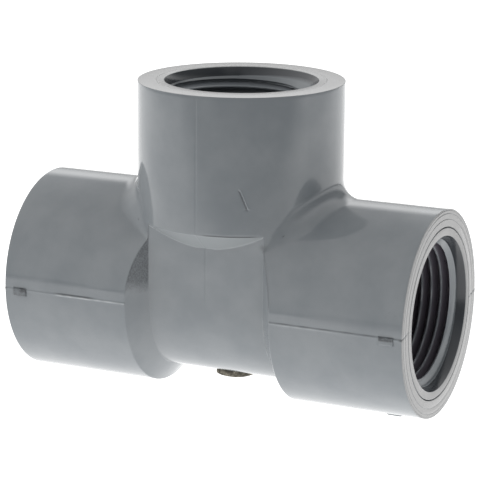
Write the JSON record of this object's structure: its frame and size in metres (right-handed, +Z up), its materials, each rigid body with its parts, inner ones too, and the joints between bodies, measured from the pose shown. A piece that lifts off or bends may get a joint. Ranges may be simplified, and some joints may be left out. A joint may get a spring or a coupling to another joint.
{
  "type": "pipe tee fitting",
  "caption": "Grey PVC pipe tee: a straight run with an equal branch, taper pipe thread in every port, round hubs and a narrower body between them.",
  "frame": {"origin": "on the plane that the run hubs rest on, straight under the point where the axes of run and branch cross", "axes": "+X along the run towards the right port, +Z up the branch, so -Y is the side that carries the parting nubs"},
  "size_m": [0.0946, 0.046, 0.0703],
  "materials": {
    "shell": "semi-gloss moulded PVC, blue-grey",
    "thread": "the same PVC, as the threaded core left it",
    "gate": "rough cut face of the gate, slightly scorched"
  },
  "bodies": {
    "root": {"center_body": "shell", "left_hub": "shell", "right_hub": "shell", "branch_hub": "shell", "left_thread_sleeve": "thread", "right_thread_sleeve": "thread", "branch_thread_sleeve": "thread", "gate_stub": "gate", "left_parting_nub": "shell", "right_parting_nub": "shell", "right_bottom_nub": "shell"}
  },
  "joints": []
}
